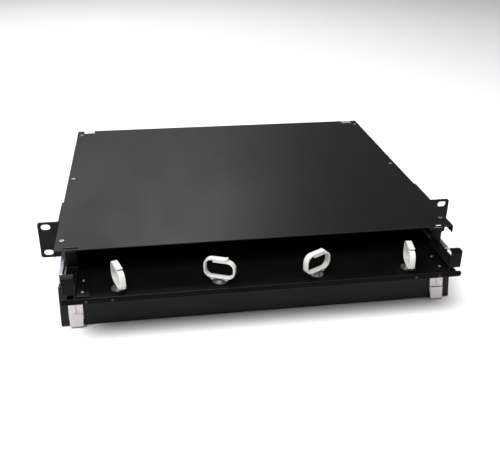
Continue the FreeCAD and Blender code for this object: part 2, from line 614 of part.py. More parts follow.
# ---- doors --------------------------------------------------------------------------------------
# A door is drawn closed, with its hinge axis along X through the origin and its inside towards +Y,
# and is then placed. Heights are over the axis, and depths are measured from the axis too.
def door_panel(notch):
    """Flat panel with a clearance at each hinge and a window at each latch."""
    face = AXIS_TO_FACE
    panel = box(-HALF_BODY, HALF_BODY, face - DOOR_THICK, face, -EDGE_BELOW, DOOR_TOP)
    cuts = []
    for side in (-1, 1):
        hinge = side * HINGE_X
        cuts.append(box(hinge - HINGE_HALF - 0.5, hinge + HINGE_HALF + 0.5, -9, 9, -9, 2.4))
        latch = side * LATCH_X
        cuts.append(box(latch - 5.2, latch + 5.2, -9, 9, 13.0, 24.2))
        if notch:
            cuts.append(box(latch - LATCH_HALF, latch + LATCH_HALF, -9, 9, notch, DOOR_TOP + 1))
    return panel.cut(group(cuts))


def door_leaf():
    """Hinge leaf on the door's inside with two knuckles round the pin."""
    face, back = AXIS_TO_FACE, AXIS_TO_FACE + 0.8
    pieces = [box(-HINGE_HALF, HINGE_HALF, face, back, 2.6, 11.0)]
    for side in (-1, 1):
        near, far = side * (CENTRE_KNUCKLE + 0.3), side * HINGE_HALF
        pieces.append(rod((min(near, far), 0, 0), X_AXIS, KNUCKLE_RADIUS, abs(far - near)))
        pieces.append(box(near, far, 0.6, back, 0.9, 1.7))
        pieces.append(box(near, far, face, back, 0.9, 2.6))
    bore = rod((-20, 0, 0), X_AXIS, HINGE_RADIUS + PIN_CLEARANCE, 40)
    return fuse(pieces).cut(bore)


def housing_leaf():
    """Hinge leaf on the bottom panel with the centre knuckle, which grips the pin."""
    ring = rod((-CENTRE_KNUCKLE, 0, 0), X_AXIS, KNUCKLE_RADIUS, 2 * CENTRE_KNUCKLE)
    neck = box(-CENTRE_KNUCKLE, CENTRE_KNUCKLE, 1.2, 4.0, -0.3, 0.5)
    leaf = box(-HINGE_HALF, HINGE_HALF, 4.0, 15.0, -0.3, 0.5)
    bore = rod((-20, 0, 0), X_AXIS, HINGE_RADIUS, 40)
    return fuse([ring, neck, leaf]).cut(bore)


def hinge_pin():
    return rod((-HINGE_HALF - 0.25, 0, 0), X_AXIS, HINGE_RADIUS, 2 * HINGE_HALF + 0.5)


def latch_housing():
    """Zinc box on the door's inside, slit up the middle for the tongue's stem to run in."""
    face, wall = AXIS_TO_FACE, LATCH_WALL
    low, high = LATCH_HOUSING
    back = face + LATCH_DEPTH
    shell = box(-LATCH_HALF, LATCH_HALF, face, back, low, high)
    cavity = box(wall - LATCH_HALF, LATCH_HALF - wall, face, back - wall, low + wall, high - wall)
    slit = box(-SLIT_HALF, SLIT_HALF, face, back + 1, low + 1.5, high - 2.0)
    return shell.cut(group([cavity, slit]))


def latch_tongue():
    """Sliding tongue: thumb button, shoe, stem, and the plate that enters the cover."""
    face = AXIS_TO_FACE
    shoe = box(-5.6, 5.6, face + 0.2, face + 2.5, 19.0, 27.0)
    button = box(-4.4, 4.4, face - DOOR_THICK - 2.2, face + 0.2, 18.4, 23.4)
    near, far = face + TONGUE_FACE[0], face + TONGUE_FACE[1]
    stem = box(-0.4, 0.4, face + 2.0, near, 24.0, 32.0)
    plate = box(-TONGUE_HALF, TONGUE_HALF, near, far, TONGUE_LOW, DOOR_TOP)
    return fuse([shoe, button, stem, plate])


def rear_latch_tongue():
    """A tongue with a flange along its top, which fills the notch in the cover and in the door."""
    outside = AXIS_TO_FACE - DOOR_THICK
    inside = AXIS_TO_FACE + DOOR_GAP + LATCH_NOTCH - NOTCH_GAP
    flange = box(-TONGUE_HALF, TONGUE_HALF, outside, inside, DOOR_TOP - REAR_FLANGE, DOOR_TOP)
    return fuse([latch_tongue(), flange])


def latch_spring():
    """Compression spring below the shoe, which pushes the tongue out."""
    radius, wire = 0.95, 0.22
    low, high = LATCH_HOUSING[0] + LATCH_WALL + wire + 0.1, 18.7
    helix = Part.makeHelix((high - low) / 7, high - low, radius)
    profile = Part.Wire(Part.makeCircle(wire, Vector(radius, 0, 0), Y_AXIS))
    coil = Part.Wire(helix.Edges).makePipeShell([profile], True, True)
    coil.translate(Vector(0, AXIS_TO_FACE + 1.35, low))
    return coil


def at_front(shape, x=0.0):
    """Places a closed door part on the front axis, swung open to where the door hangs."""
    placed = turned(moved(shape, x=x), DOOR_OPEN_ANGLE, X_AXIS)
    return moved(placed, y=FRONT_AXIS_Y, z=AXIS_Z)


def at_rear(shape, x=0.0):
    """Places a closed door part on the rear axis, with its inside facing forward."""
    flipped = moved(shape, x=x).mirror(ORIGIN, Y_AXIS)
    return moved(flipped, y=REAR_AXIS_Y, z=AXIS_Z)


def front_fixed(shape, x=0.0):
    """Places a hinge part that belongs to the housing on the front axis."""
    return moved(shape, x=x, y=FRONT_AXIS_Y, z=AXIS_Z)


def door_nodes():
    """Every node of the two doors, their hinges and their latches."""
    nodes = {}
    hinges = (-HINGE_X, HINGE_X)
    latches = {"left": -LATCH_X, "right": LATCH_X}
    ends = {"front": (at_front, front_fixed), "rear": (at_rear, at_rear)}
    for end, (place, fixed) in ends.items():
        rear_notch = DOOR_TOP - REAR_FLANGE - LATCH_TRAVEL - NOTCH_GAP
        nodes[end + "_door_panel"] = place(door_panel(rear_notch if end == "rear" else None))
        tongue = rear_latch_tongue() if end == "rear" else latch_tongue()
        nodes[end + "_door_hinge_leaves"] = group([place(door_leaf(), x) for x in hinges])
        nodes[end + "_housing_hinge_leaves"] = group([fixed(housing_leaf(), x) for x in hinges])
        nodes[end + "_hinge_pins"] = group([fixed(hinge_pin(), x) for x in hinges])
        nodes[end + "_latch_housings"] = group([place(latch_housing(), x) for x in latches.values()])
        for side, x in latches.items():
            nodes[end + "_latch_tongue_" + side] = place(tongue, x)
            nodes[end + "_latch_spring_" + side] = place(latch_spring(), x)
    return nodes


# ---- all nodes ----------------------------------------------------------------------------------
def all_nodes():
    nodes = {
        "base_shell": cut_for_ear_screws(base_shell()),
        "top_cover": top_cover(),
        "cover_screws": cover_screws(),
        "rack_ear_right": cut_for_ear_screws(rack_ear()),
        "rack_ear_left": cut_for_ear_screws(across(rack_ear())),
        "rack_ear_screws": ear_screws(),
        "cable_grommets": grommets(),
        "cable_clamps": cable_clamps(),
        "earth_stud": earth_stud(),
        "drawer_tray": drawer_tray(),
        "lip_screws": lip_screws(),
        "cord_guide_right": cord_guide(),
        "cord_guide_left": across(cord_guide()),
        "cord_guide_screws": guide_screws(),
        "ring_bases": ring_bases(),
        "adapter_panel": adapter_panel(),
        "adapter_panel_screws": panel_screws(),
        "fibre_adapters": fibre_adapters(),
        "dust_caps_front": dust_caps(False),
        "dust_caps_rear": dust_caps(True),
        "splice_tray": splice_tray(),
        "splice_holder": splice_holder(),
        "splice_sleeves": splice_sleeves(),
        "splice_tray_lid": tray_lid(),
        "fibre_spools": fibre_spools(),
    }
    halves = {"outer_rail": outer_rail(), "inner_rail": inner_rail(), "ball_cage": ball_cage(),
              "slide_balls": slide_balls()}
    for name, half in halves.items():
        nodes[name + "_right"] = half
        nodes[name + "_left"] = across(half)
    for index in range(len(RING_X)):
        nodes["cord_ring_" + str(index + 1)] = cord_ring(index)
    nodes.update(door_nodes())
    return nodes


def export(nodes):
    os.makedirs("parts", exist_ok=True)
    for name, shape in nodes.items():
        solids = shape.Solids
        if not solids or not all(solid.isValid() for solid in solids):
            raise ValueError("bad solid in " + name)
        out = solids[0] if len(solids) == 1 else Part.makeCompound(solids)
        out.exportStep(os.path.join("parts", name + ".step"))
        print(name, len(solids), "solids", round(sum(s.Volume for s in solids), 1), "mm3")


export(all_nodes())
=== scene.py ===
"""Looks of a 1U fibre termination box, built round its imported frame.

Each sub-part is a copy of its CAD node with rounded edges, apart from the cord rings and their clear
swivel bases, which are shaped here. All lengths are in metres, in the frame's own axes.
"""
import json
import math

import bmesh
import bpy
from mathutils import Matrix, Vector


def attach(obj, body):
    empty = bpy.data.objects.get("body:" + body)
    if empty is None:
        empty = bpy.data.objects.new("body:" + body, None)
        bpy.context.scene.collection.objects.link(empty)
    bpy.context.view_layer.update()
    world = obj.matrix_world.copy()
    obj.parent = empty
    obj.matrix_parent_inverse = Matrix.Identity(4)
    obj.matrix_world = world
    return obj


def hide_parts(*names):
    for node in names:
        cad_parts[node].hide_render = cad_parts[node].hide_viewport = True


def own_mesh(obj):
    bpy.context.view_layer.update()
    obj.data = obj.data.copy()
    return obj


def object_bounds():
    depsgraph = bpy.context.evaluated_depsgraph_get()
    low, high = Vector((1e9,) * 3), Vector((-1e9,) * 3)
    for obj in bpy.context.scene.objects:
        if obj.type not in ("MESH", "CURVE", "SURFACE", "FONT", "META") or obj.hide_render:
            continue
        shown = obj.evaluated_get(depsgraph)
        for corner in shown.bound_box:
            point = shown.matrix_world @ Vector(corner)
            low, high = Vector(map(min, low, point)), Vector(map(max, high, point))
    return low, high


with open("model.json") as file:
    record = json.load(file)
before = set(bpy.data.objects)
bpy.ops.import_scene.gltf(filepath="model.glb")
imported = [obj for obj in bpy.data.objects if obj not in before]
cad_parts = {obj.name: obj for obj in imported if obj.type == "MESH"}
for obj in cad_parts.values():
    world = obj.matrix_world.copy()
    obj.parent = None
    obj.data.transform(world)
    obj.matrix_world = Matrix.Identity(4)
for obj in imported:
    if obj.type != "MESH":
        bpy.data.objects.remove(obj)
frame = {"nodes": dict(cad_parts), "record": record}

CAD_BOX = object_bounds()
RECORD = frame["record"]
BODY_OF = {node: body for body, nodes in RECORD["behaviour"]["bodies"].items() for node in nodes}
SLOT_OF = {part["node"]: part["material_slot"] for part in RECORD["subparts"]}
MM = 0.001
BLEND_SPAN = (0.32, 0.68)      # the part of a noise factor over which one colour turns to another
SPREAD_SPAN = (0.3, 0.7)       # the part of a noise factor that a measure is spread over
DRAWN = (1.0, 0.08, 1.0)       # draws a pattern out along Y


# ---- materials ----------------------------------------------------------------------------------
def surface(name, sockets):
    """A new material whose Principled shader has these constant sockets."""
    material = bpy.data.materials.new(name)
    material.use_nodes = True
    shader = material.node_tree.nodes["Principled BSDF"]
    for socket, value in sockets.items():
        shader.inputs[socket].default_value = value
    return material


def add_node(material, kind, settings=None, inputs=None):
    """A shader node with some settings, its inputs given as constants or as links."""
    node = material.node_tree.nodes.new("ShaderNode" + kind)
    for name, value in (settings or {}).items():
        setattr(node, name, value)
    for name, value in (inputs or {}).items():
        if isinstance(value, bpy.types.NodeSocket):
            material.node_tree.links.new(value, node.inputs[name])
        else:
            node.inputs[name].default_value = value
    return node


def drive(material, socket, output):
    """Feeds a socket of the material's shader from a node's output."""
    shader = material.node_tree.nodes["Principled BSDF"]
    material.node_tree.links.new(output, shader.inputs[socket])


def place(material, stretch=(1, 1, 1)):
    """Object coordinates in metres, squeezed along each axis by stretch."""
    coordinates = add_node(material, "TexCoord")
    inputs = {"Vector": coordinates.outputs["Object"], "Scale": stretch}
    return add_node(material, "Mapping", inputs=inputs).outputs["Vector"]


def noise(material, scale, detail=2.0, stretch=(1, 1, 1)):
    """A noise factor from 0 to 1, fixed to the piece."""
    inputs = {"Vector": place(material, stretch), "Scale": scale, "Detail": detail}
    return add_node(material, "TexNoise", inputs=inputs).outputs["Fac"]


def spread(material, factor, low, high):
    """A measure that goes from low to high as the factor rises."""
    start, stop = SPREAD_SPAN
    inputs = {"Value": factor, "From Min": start, "From Max": stop, "To Min": low, "To Max": high}
    return add_node(material, "MapRange", inputs=inputs).outputs["Result"]


def blend_colours(material, factor, first, second):
    """A colour that goes from first to second as the factor rises."""
    ramp = add_node(material, "ValToRGB", inputs={"Fac": factor})
    stops = zip(ramp.color_ramp.elements, BLEND_SPAN, (first, second))
    for stop, position, colour in stops:
        stop.position = position
        stop.color = (*colour, 1)
    return ramp.outputs["Color"]


def bump(material, height, strength, distance):
    """Fine relief; distance is in metres."""
    inputs = {"Height": height, "Strength": strength, "Distance": distance}
    drive(material, "Normal", add_node(material, "Bump", inputs=inputs).outputs["Normal"])


def add_heights(material, first, second, share):
    """The first height with a share of the second on top."""
    inputs = {0: second, 1: share, 2: first}
    return add_node(material, "Math", {"operation": "MULTIPLY_ADD"}, inputs).outputs["Value"]


def powder_coat(name, dark, light, low, high, gloss):
    """Powder coat: a fine orange peel, faint mottling, and roughness that varies in handling."""
    material = surface(name, {"Specular IOR Level": gloss})
    mottle = noise(material, 38.0, 4.0)
    drive(material, "Base Color", blend_colours(material, mottle, dark, light))
    wiped = noise(material, 14.0, 3.0, (1.0, 0.35, 1.0))
    drive(material, "Roughness", spread(material, wiped, low, high))
    peel = noise(material, 900.0, 2.0)
    grain = noise(material, 3200.0, 1.0)
    bump(material, add_heights(material, peel, grain, 0.35), 0.28, 0.00006)
    return material


def zinc(name, dark, light, low, high):
    """Zinc plate: grain drawn along Y, with cloudy passivation."""
    material = surface(name, {"Metallic": 1.0})
    cloud = noise(material, 55.0, 4.0)
    drive(material, "Base Color", blend_colours(material, cloud, dark, light))
    grain = noise(material, 600.0, 3.0, DRAWN)
    drive(material, "Roughness", spread(material, grain, low, high))
    bump(material, grain, 0.25, 0.00003)
    return material


def polished(name, colour, low, high):
    """Turned or rolled bright metal with fine scratches."""
    material = surface(name, {"Metallic": 1.0, "Base Color": (*colour, 1)})
    scratch = noise(material, 1500.0, 2.0, (1.0, 0.2, 1.0))
    drive(material, "Roughness", spread(material, scratch, low, high))
    bump(material, scratch, 0.15, 0.00002)
    return material


def nylon(name, dark, light):
    """Natural moulded nylon: slightly translucent, waxy, with faint flow marks."""
    material = surface(name, {"Subsurface Weight": 0.35, "Subsurface Scale": 0.0015,
                              "Subsurface Radius": (1.0, 0.9, 0.7), "Specular IOR Level": 0.45})
    flow = noise(material, 120.0, 3.0, (1.0, 1.0, 0.4))
    drive(material, "Base Color", blend_colours(material, flow, dark, light))
    drive(material, "Roughness", spread(material, noise(material, 260.0, 2.0), 0.36, 0.50))
    bump(material, noise(material, 1800.0, 2.0), 0.15, 0.00003)
    return material


def plastic(name, dark, light, low, high):
    """Moulded plastic with a spark-eroded texture."""
    material = surface(name, {"Specular IOR Level": 0.5})
    drive(material, "Base Color", blend_colours(material, noise(material, 90.0, 3.0), dark, light))
    drive(material, "Roughness", spread(material, noise(material, 300.0, 2.0), low, high))
    bump(material, noise(material, 1500.0, 2.0), 0.2, 0.00004)
    return material


def clear(name, colour, low, high, haze):
    """Clear moulding, a little hazy where it is scuffed."""
    material = surface(name, {"Transmission Weight": 1.0 - haze, "IOR": 1.47,
                              "Base Color": (*colour, 1)})
    scuff = noise(material, 420.0, 4.0)
    drive(material, "Roughness", spread(material, scuff, low, high))
    bump(material, scuff, 0.1, 0.00003)
    return material


def rubber(name):
    """Matt rubber with a faint grey bloom."""
    material = surface(name, {"Specular IOR Level": 0.35})
    bloom = noise(material, 160.0, 4.0)
    dark, light = (0.010, 0.010, 0.010), (0.022, 0.021, 0.020)
    drive(material, "Base Color", blend_colours(material, bloom, dark, light))
    drive(material, "Roughness", spread(material, bloom, 0.62, 0.85))
    bump(material, noise(material, 2200.0, 2.0), 0.35, 0.00005)
    return material


# Each slot has the finish of its faces and of its edges. Most edge materials here and below are
# lighter copies of their face materials, a painted highlight along the rounded edges.
FINISHES = {
    "black_powder_coat": (
        powder_coat("powder_coat", (0.0034, 0.0034, 0.0033), (0.0046, 0.0046, 0.0044),
                    0.34, 0.44, 0.13),
        powder_coat("powder_coat_edge", (0.009, 0.009, 0.0088), (0.014, 0.014, 0.0135),
                    0.28, 0.36, 0.3)),
    "zinc_plate": (
        zinc("zinc_plate_face", (0.60, 0.54, 0.545), (0.72, 0.655, 0.66), 0.42, 0.56),
        zinc("zinc_plate_edge", (0.76, 0.73, 0.72), (0.86, 0.84, 0.83), 0.28, 0.38)),
    "bright_screws": (
        polished("nickel", (0.24, 0.237, 0.233), 0.26, 0.40),
        polished("nickel_edge", (0.36, 0.356, 0.352), 0.22, 0.32)),
    "hardened_steel": (
        polished("bearing_steel", (0.60, 0.60, 0.61), 0.10, 0.22),
        polished("bearing_steel_edge", (0.74, 0.74, 0.75), 0.10, 0.18)),
    "cage_brass": (
        polished("brass_face", (0.66, 0.47, 0.20), 0.24, 0.40),
        polished("brass_edge", (0.84, 0.66, 0.34), 0.18, 0.28)),
    "white_plastic": (
        nylon("natural_nylon", (0.51, 0.52, 0.485), (0.60, 0.605, 0.57)),
        nylon("natural_nylon_edge", (0.57, 0.575, 0.54), (0.63, 0.635, 0.60))),
    "clear_plastic": (
        clear("clear_moulding", (0.50, 0.54, 0.53), 0.30, 0.46, 0.05),
        clear("clear_moulding_edge", (0.66, 0.70, 0.70), 0.26, 0.40, 0.10)),
    "blue_plastic": (
        plastic("adapter_blue", (0.010, 0.060, 0.30), (0.016, 0.085, 0.38), 0.28, 0.40),
        plastic("adapter_blue_edge", (0.03, 0.11, 0.44), (0.04, 0.14, 0.50), 0.24, 0.34)),
    "cap_plastic": (
        nylon("cap_white", (0.74, 0.76, 0.76), (0.82, 0.83, 0.82)),
        nylon("cap_white_edge", (0.82, 0.83, 0.83), (0.88, 0.88, 0.88))),
    "grey_plastic": (
        plastic("tray_grey", (0.50, 0.51, 0.50), (0.58, 0.58, 0.57), 0.40, 0.55),
        plastic("tray_grey_edge", (0.60, 0.61, 0.60), (0.68, 0.68, 0.67), 0.36, 0.46)),
    "splice_comb": (
        plastic("comb_black", (0.022, 0.022, 0.024), (0.036, 0.036, 0.037), 0.38, 0.52),
        plastic("comb_black_edge", (0.05, 0.05, 0.05), (0.07, 0.07, 0.07), 0.34, 0.44)),
    "sleeve_plastic": (
        clear("sleeve_clear", (0.88, 0.90, 0.92), 0.14, 0.30, 0.35),
        clear("sleeve_clear_edge", (0.92, 0.94, 0.95), 0.14, 0.26, 0.4)),
    "black_rubber": (rubber("rubber_face"), rubber("rubber_edge")),
}
# The drawer's parts are coated duller than the housing, and their darker colour is painted shade.
# The doors are glossier, and their lighter colour is painted light.
COAT_OF_BODY = {
    "drawer": (
        powder_coat("drawer_coat", (0.0013, 0.0013, 0.0012), (0.0020, 0.0020, 0.0018),
                    0.42, 0.54, 0.05),
        powder_coat("drawer_coat_edge", (0.007, 0.007, 0.0066), (0.011, 0.011, 0.0104),
                    0.34, 0.42, 0.2)),
    "front_door": (
        powder_coat("door_coat", (0.0046, 0.0046, 0.0045), (0.0062, 0.0062, 0.0060),
                    0.36, 0.46, 0.20),
        powder_coat("door_coat_edge", (0.009, 0.009, 0.0088), (0.014, 0.014, 0.0135),
                    0.28, 0.36, 0.4)),
}
COAT_OF_BODY["rear_door"] = COAT_OF_BODY["front_door"]
# Nodes with a finish of their own, by the start of their name; the first that fits counts.
# The lip's screws are blackened and the cord guides' screws are dull; the guides' coat is the
# darkest,
# a painted shade for the guides standing under the cover; and the slides have a bluish plating.
FINISH_OF_START = {
    "lip_screws": (
        polished("black_screw", (0.038, 0.037, 0.035), 0.32, 0.46),
        polished("black_screw_edge", (0.08, 0.078, 0.075), 0.28, 0.40)),
    "cord_guide_screws": (
        polished("dull_screw", (0.30, 0.30, 0.29), 0.26, 0.40),
        polished("dull_screw_edge", (0.42, 0.42, 0.41), 0.22, 0.34)),
    "cord_guide_": (
        powder_coat("guide_coat", (0.0008, 0.0008, 0.0008), (0.0014, 0.0014, 0.0014),
                    0.36, 0.46, 0.10),
        powder_coat("guide_coat_edge", (0.005, 0.005, 0.0048), (0.009, 0.009, 0.0087),
                    0.30, 0.38, 0.2)),
    "outer_rail": (
        zinc("blue_zinc", (0.44, 0.48, 0.57), (0.54, 0.58, 0.67), 0.34, 0.48),
        zinc("blue_zinc_edge", (0.62, 0.65, 0.72), (0.72, 0.75, 0.80), 0.26, 0.36)),
}
FINISH_OF_START["inner_rail"] = FINISH_OF_START["outer_rail"]


# ---- pieces copied from the CAD nodes -----------------------------------------------------------
SAME_POINT = 0.001 * MM
FLAT_ANGLE = math.radians(0.4)      # triangles that turn less than this are one flat face
CREASE_ANGLE = math.radians(28.0)   # an edge that turns more than this is rounded


def finish_piece(piece, node):
    """Puts a piece in the node's place and on its body, and hides the node."""
    bpy.context.scene.collection.objects.link(piece)
    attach(piece, BODY_OF[node])
    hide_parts(node)
    return piece


def finish_of(node):
    """The face and edge materials of a node."""
    for start, finish in FINISH_OF_START.items():
        if node.startswith(start):
            return finish
    if SLOT_OF[node] == "black_powder_coat":
        return COAT_OF_BODY.get(BODY_OF[node], FINISHES["black_powder_coat"])
    return FINISHES[SLOT_OF[node]]


def new_piece(node, bm):
    """A piece with the bmesh's shape and the node's two materials, faces first."""
    mesh = bpy.data.meshes.new("shown_" + node)
    bm.to_mesh(mesh)
    bm.free()
    for material in finish_of(node):
        mesh.materials.append(material)
    mesh.shade_smooth()
    return bpy.data.objects.new("shown_" + node, mesh)


def round_edges(piece, width):
    """Rounds creases, gives the rounding the piece's lighter edge material as a painted highlight,
    and keeps broad faces flat.
    """
    bevel = piece.modifiers.new("rounded", "BEVEL")
    bevel.width = width
    bevel.segments = 2
    bevel.limit_method = "ANGLE"
    bevel.angle_limit = CREASE_ANGLE
    bevel.use_clamp_overlap = False
    bevel.material = 1
    bevel.miter_outer = "MITER_ARC"
    flat = piece.modifiers.new("flat faces", "WEIGHTED_NORMAL")
    flat.weight = 100
    flat.keep_sharp = False


def refined(node, width):
    """A copy of a CAD node with its flat faces whole again and its edges rounded."""
    bm = bmesh.new()
    bm.from_mesh(frame["nodes"][node].data)
    bmesh.ops.remove_doubles(bm, verts=bm.verts, dist=SAME_POINT)
    bmesh.ops.dissolve_limit(bm, angle_limit=FLAT_ANGLE, verts=bm.verts, edges=bm.edges)
    piece = new_piece(node, bm)
    if width:
        round_edges(piece, width)
    return finish_piece(piece, node)


# Widths of the rounded edges in mm, by the start of the node's name.
EDGE_WIDTHS = {
    "base_shell": 0.25, "top_cover": 0.3, "rack_ear": 0.3, "drawer_tray": 0.3, "cord_guide": 0.25,
    "adapter_panel": 0.25, "front_door_panel": 0.3, "rear_door_panel": 0.3, "outer_rail": 0.2,
    "inner_rail": 0.2, "ball_cage": 0.1, "front_latch_housings": 0.15, "rear_latch_housings": 0.15,
    "front_latch_tongue": 0.2, "rear_latch_tongue": 0.2, "front_door_hinge": 0.12,
    "rear_door_hinge": 0.12, "front_housing_hinge": 0.12, "rear_housing_hinge": 0.12,
    "cable_clamps": 0.1, "cable_grommets": 0.12, "earth_stud": 0.12, "cover_screws": 0.1,
    "lip_screws": 0.1, "cord_guide_screws": 0.1, "adapter_panel_screws": 0.1,
    "rack_ear_screws": 0.12, "fibre_adapters": 0.2, "dust_caps": 0.2, "splice_tray": 0.3,
    "splice_holder": 0.12, "splice_tray_lid": 0.2, "fibre_spools": 0.3,
}
SHAPED_HERE = ("cord_ring_", "ring_bases")


def edge_width(node):
    """The rounding of a node's edges, from the longest start that its name has."""
    starts = [start for start in EDGE_WIDTHS if node.startswith(start)]
    return EDGE_WIDTHS[max(starts, key=len)] * MM if starts else 0.0


def shorten_spring(spring, node):
    """Gives a latch spring a mesh of its own when a joint lists its node as deforming."""
    for joint in RECORD["behaviour"]["joints"]:
        if node in [change["node"] for change in joint.get("deforming_nodes", ())]:
            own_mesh(spring)


def refine_all():
    """Replaces every node with its refined copy, apart from those shaped further down."""
    for node in frame["nodes"]:
        if not node.startswith(SHAPED_HERE):
            piece = refined(node, edge_width(node))
            if "latch_spring" in node:
                shorten_spring(piece, node)


refine_all()


# ---- cord rings and their clear bases -----------------------------------------------------------
RING_YAW = (-73.0, -22.5, 29.3, -100.0)     # degrees, how far each ring is turned on its base
RING_HALF = 16.7 * MM                       # half of a ring's width
RING_LOW = -3.8 * MM
RING_CROWN = 19.3 * MM
RING_STEP = 2.3 * MM                        # the lower arm lies this far under the upper one
RING_DEPTH = 6.3 * MM
RING_BAND = 2.1 * MM                        # thickness
RING_CORNER = 8.8 * MM
RING_EDGE = 0.2 * MM                        # rounding of the band's cut ends and of the fins
BAND_EDGE = 0.55 * MM                       # rounding along the band's four edges
UPPER_ARM_END = 8.0 * MM
LOWER_ARM_END = -6.8 * MM
ARM_CURL = 1.9 * MM                         # the finger tab at the upper arm's tip is curled up
TAB_SHORT = 0.2 * MM                        # and ends this much short of the arm's end
FIN_OUTLINE = ((3.4, 0.5), (8.4, 0.5), (9.4, -0.8), (7.6, -2.3), (6.0, -0.9))   # mm
FIN_THICK = 1.1 * MM
FIN_INSET = 0.2 * MM                        # from the band's edge
FLOOR_TOP = -7.5 * MM                       # of the drawer
STEM_RADIUS = 1.5 * MM
STEM_FOOT = 0.9 * MM                        # between the drawer's floor and the stem's lower end
STEM_ROOT = 0.3 * MM                        # how far the stem reaches into the band
BASE_RADIUS = 7.9 * MM
BASE_GAP = 0.02 * MM                        # under a base
BASE_EDGE = 0.1 * MM                        # bevel at the bottom of a base
RIM_HEIGHT = 0.8 * MM
RIM_ACROSS, RIM_DOWN = 0.35 * MM, 0.3 * MM  # bevel of the rim
DOME_RADIUS = 7.0 * MM
DOME_HEIGHT = 3.3 * MM
DOME_END = 0.1 * MM                         # the dome ends this far inside its radius
SOCKET_GAP = 0.05 * MM                      # round the stem
SOCKET_LIP = 0.5 * MM                       # between the socket and the start of the dome
SOCKET_DROP = 0.3 * MM                      # of the socket's edge, below the dome's crown


def arc(centre, radius, start, stop, steps=14):
    """Points of an arc in the XZ plane, angles in degrees from +X towards +Z."""
    points = []
    for step in range(steps + 1):
        angle = math.radians(start + (stop - start) * step / steps)
        points.append((centre[0] + radius * math.cos(angle), centre[1] + radius * math.sin(angle)))
    return points


def line(start, stop, height, steps):
    """Points along X at one height, between start and stop but without them."""
    return [(start + (stop - start) * step / steps, height) for step in range(1, steps)]


def ring_path():
    """Middle line of the band: upper arm's tip, left side, bottom, right side, lower arm's end."""
    inset = RING_BAND / 2
    radius = RING_CORNER - inset
    across = RING_HALF - inset - radius
    low = RING_LOW + inset + radius
    high = RING_CROWN - inset - radius
    tip = UPPER_ARM_END - TAB_SHORT
    curl = arc((tip - ARM_CURL, RING_CROWN - inset + ARM_CURL), ARM_CURL, -15, -90, 6)
    flat = line(tip - ARM_CURL, -across, RING_CROWN - inset, 8)
    left = arc((-across, high), radius, 90, 180) + arc((-across, low), radius, 180, 270)
    right = arc((across, low), radius, 270, 360) + arc((across, high - RING_STEP), radius, 0, 90)
    end_height = RING_CROWN - RING_STEP - inset
    end = line(across, LOWER_ARM_END, end_height, 6) + [(LOWER_ARM_END, end_height)]
    return curl + flat + left + right + end


def band_profile():
    """Cross-section of the band, thickness by depth, with rounded corners."""
    half_thick, half_deep = RING_BAND / 2 - BAND_EDGE, RING_DEPTH / 2 - BAND_EDGE
    corners = ((1, 1, 0), (-1, 1, 90), (-1, -1, 180), (1, -1, 270))
    points = []
    for thick, deep, start in corners:
        points += arc((thick * half_thick, deep * half_deep), BAND_EDGE, start, start + 90, 4)
    return points


def sweep(bm, path, profile):
    """A closed solid along a path in the XZ plane, with flat ends."""
    rows = []
    for index, (x, z) in enumerate(path):
        before, after = path[max(index - 1, 0)], path[min(index + 1, len(path) - 1)]
        along = Vector((after[0] - before[0], 0, after[1] - before[1])).normalized()
        out = Vector((-along.z, 0, along.x))
        at = Vector((x, 0, z))
        rows.append([bm.verts.new(at + out * u + Vector((0, v, 0))) for u, v in profile])
    count = len(profile)
    for first, second in zip(rows, rows[1:]):
        for i in range(count):
            bm.faces.new((first[i], first[(i + 1) % count], second[(i + 1) % count], second[i]))
    bm.faces.new(rows[0])
    bm.faces.new(reversed(rows[-1]))


def ring_fin(bm, side, front):
    """Small fin under one edge of the band that steadies the ring on its dome."""
    edge = RING_DEPTH / 2 - FIN_INSET
    faces = []
    for y in (front * (edge - FIN_THICK), front * edge):
        corners = [(side * x * MM, y, RING_LOW + z * MM) for x, z in FIN_OUTLINE]
        faces.append([bm.verts.new(corner) for corner in corners])
    bm.faces.new(faces[0])
    bm.faces.new(reversed(faces[1]))
    for i in range(len(FIN_OUTLINE)):
        j = (i + 1) % len(FIN_OUTLINE)
        bm.faces.new((faces[0][j], faces[0][i], faces[1][i], faces[1][j]))


def lathe(bm, outline, centre, steps=48):
    """A solid of revolution about Z from (radius, height) points that start and end on the axis."""
    rows = []
    for radius, height in outline:
        if radius == 0:
            rows.append([bm.verts.new((centre[0], centre[1], height))] * steps)
            continue
        row = []
        for step in range(steps):
            angle = 2 * math.pi * step / steps
            x = centre[0] + radius * math.cos(angle)
            y = centre[1] + radius * math.sin(angle)
            row.append(bm.verts.new((x, y, height)))
        rows.append(row)
    for first, second in zip(rows, rows[1:]):
        for i in range(steps):
            j = (i + 1) % steps
            corners = list(dict.fromkeys((first[i], second[i], second[j], first[j])))
            bm.faces.new(corners)


def joint_place(name):
    """A point on a joint's axis."""
    for joint in RECORD["behaviour"]["joints"]:
        if joint["name"] == name:
            return Vector(joint["pos_m"])
    raise KeyError(name)


def cord_ring(number):
    """One ring: a springy band whose upper arm closes over the lower, on a short stem."""
    bm = bmesh.new()
    sweep(bm, ring_path(), band_profile())
    for side in (-1, 1):
        ring_fin(bm, side, -1)
        ring_fin(bm, side, 1)
    low, high = FLOOR_TOP + STEM_FOOT, RING_LOW + STEM_ROOT
    stem = [(0, low), (STEM_RADIUS, low), (STEM_RADIUS, high), (0, high)]
    lathe(bm, stem, (0, 0), steps=20)
    place_at = joint_place("ring_%d_swivel" % number)
    place_at.z = 0
    turn = Matrix.Rotation(math.radians(RING_YAW[number - 1]), 4, "Z")
    bm.transform(Matrix.Translation(place_at) @ turn)
    bmesh.ops.recalc_face_normals(bm, faces=bm.faces)
    node = "cord_ring_%d" % number
    ring = new_piece(node, bm)
    round_edges(ring, RING_EDGE)
    finish_piece(ring, node)


